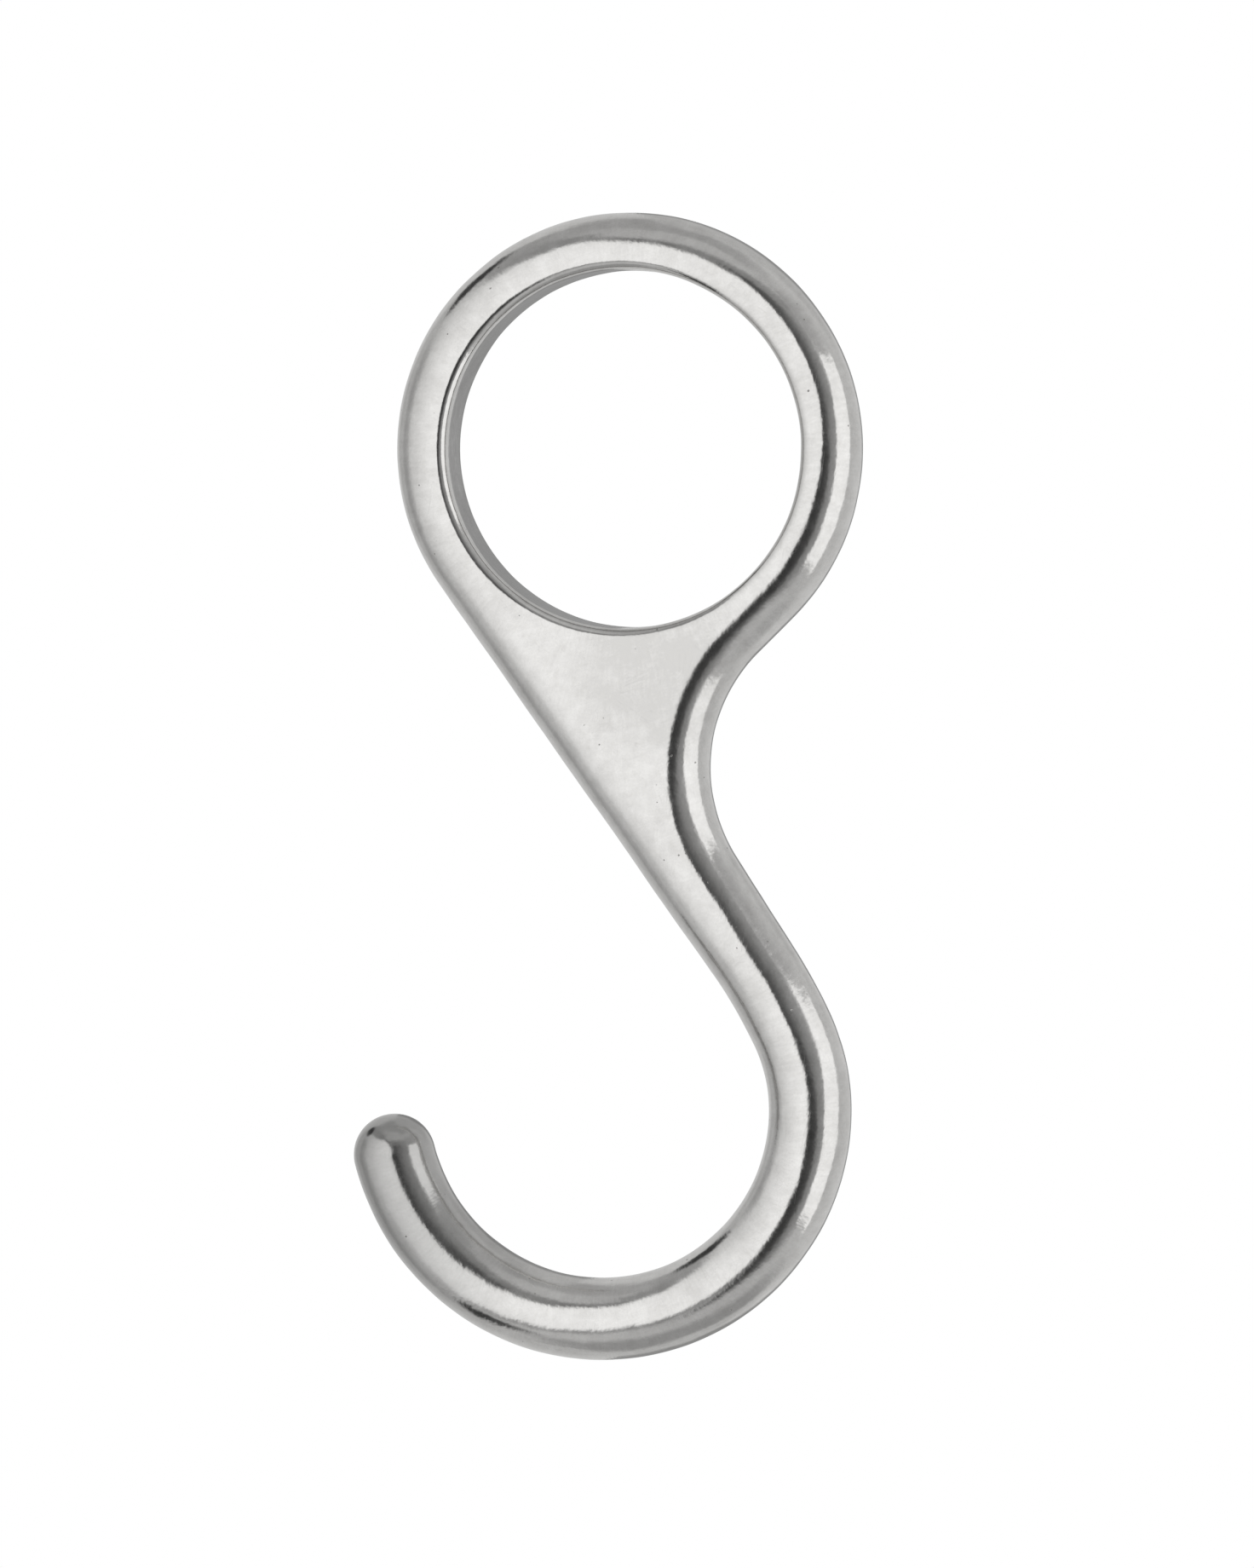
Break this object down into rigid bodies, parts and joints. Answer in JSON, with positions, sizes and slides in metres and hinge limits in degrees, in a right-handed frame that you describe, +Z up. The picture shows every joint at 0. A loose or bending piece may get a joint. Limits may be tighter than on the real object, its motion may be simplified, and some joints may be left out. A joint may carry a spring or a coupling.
{
  "type": "eye hook",
  "caption": "One-piece polished metal hook: a closed round eye, a flat triangular web that narrows into a round shank, and an open round hook with a domed tip.",
  "frame": {"origin": "centre of the bore through the eye, halfway through the thickness", "axes": "+Z up along the hook's length, with the eye at the top; Y along the bore, with -Y out of the face seen with the hook's mouth on the left; +X to the right in that view, away from the mouth"},
  "size_m": [0.0496, 0.008, 0.1101],
  "materials": {
    "polished_metal": "polished cast metal, taken as stainless steel, slightly wavy, with fine casting pits"
  },
  "bodies": {
    "root": {"cast_hook": "polished_metal"}
  },
  "joints": []
}
